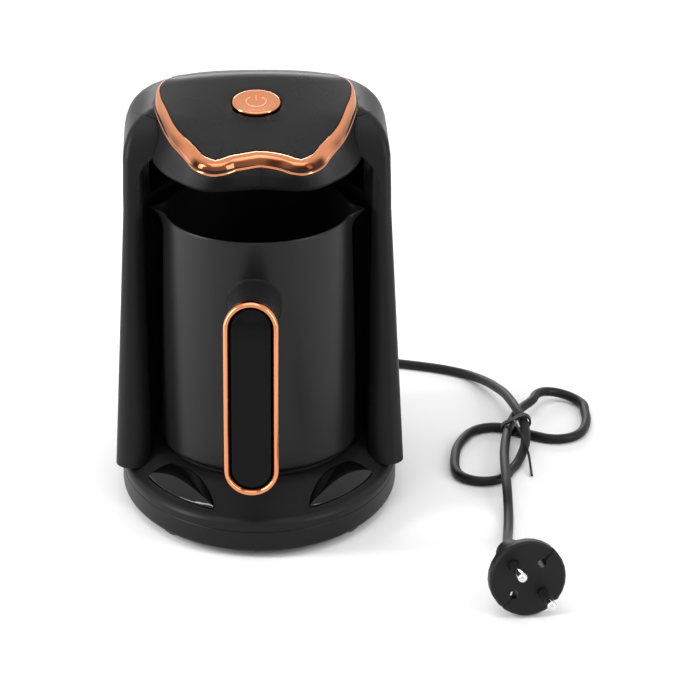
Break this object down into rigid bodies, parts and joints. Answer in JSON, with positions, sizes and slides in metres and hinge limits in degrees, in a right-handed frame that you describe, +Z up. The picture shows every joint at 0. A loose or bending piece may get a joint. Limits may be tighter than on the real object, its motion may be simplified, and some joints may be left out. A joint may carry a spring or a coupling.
{
  "type": "electric turkish coffee maker",
  "caption": "Electric coffee maker with a round heated base, a column with side ears, a sloping head with a copper push button, and a lift-out long-handled pot.",
  "frame": {"origin": "on the table under the pot's axis, which is also the middle of the machine from the handle's front to the rear wall", "axes": "+Z up, -Y towards the front, where the handle points, +X towards the machine's side that is on the right seen from the front"},
  "size_m": [0.2325, 0.2886, 0.1924],
  "materials": {
    "satin_black": "satin moulded plastic",
    "panel_black": "smooth satin plastic",
    "gloss_black": "piano gloss",
    "copper": "rose copper plating, bright",
    "pot_black": "matt non-stick coating",
    "plate_aluminium": "brushed",
    "steel": "plain",
    "silicone": "matt",
    "foot_rubber": "matt",
    "cord_rubber": "soft sheen",
    "pin_nickel": "nickel plated",
    "smoked_window": "smoked",
    "circuit_green": "solder mask",
    "component_grey": "moulded",
    "relay_blue": "moulded"
  },
  "bodies": {
    "machine": {"base_tray": "satin_black", "base_cover": "satin_black", "foot_front_left": "foot_rubber", "foot_front_right": "foot_rubber", "foot_rear_left": "foot_rubber", "foot_rear_right": "foot_rubber", "base_screw_front_left": "steel", "base_screw_front_right": "steel", "base_screw_rear_left": "steel", "base_screw_rear_right": "steel", "leaf_lens_left": "gloss_black", "leaf_lens_right": "gloss_black", "heating_plate": "plate_aluminium", "plate_seal": "silicone", "heating_element": "steel", "element_bracket": "steel", "temperature_sensor": "steel", "thermal_fuse": "component_grey", "body_shell": "satin_black", "rear_cover": "satin_black", "rear_screw_left": "steel", "rear_screw_right": "steel", "head_housing": "satin_black", "copper_trim": "copper", "top_panel": "panel_black", "head_floor": "satin_black", "sensor_window": "smoked_window", "boil_sensor": "steel", "head_screw_left": "steel", "head_screw_right": "steel", "tact_switch": "component_grey", "button_board": "circuit_green", "control_board": "circuit_green", "transformer": "component_grey", "relay": "relay_blue", "capacitor": "component_grey", "terminal_block": "circuit_green", "buzzer": "component_grey", "cord_gland": "cord_rubber", "power_cord": "cord_rubber", "cord_tie": "cord_rubber", "plug_body": "cord_rubber", "plug_pin_left": "pin_nickel", "pin_sleeve_left": "satin_black", "plug_pin_right": "pin_nickel", "pin_sleeve_right": "satin_black"},
    "pot": {"pot_shell": "pot_black", "handle_bracket": "satin_black", "handle_core": "satin_black", "handle_ring": "copper", "handle_face": "gloss_black", "handle_screw": "steel"},
    "button": {"power_button": "copper", "switch_plunger": "satin_black"}
  },
  "joints": [
    {"name": "pot_slide_out", "type": "slide", "parent": "machine", "child": "pot", "axis": [0, -1, 0], "range_m": [0, 0.15]},
    {"name": "button_press", "type": "slide", "parent": "machine", "child": "button", "axis": [0, 0.1628, -0.9867], "range_m": [0, 0.001], "stiffness_N_per_m": 1500}
  ]
}
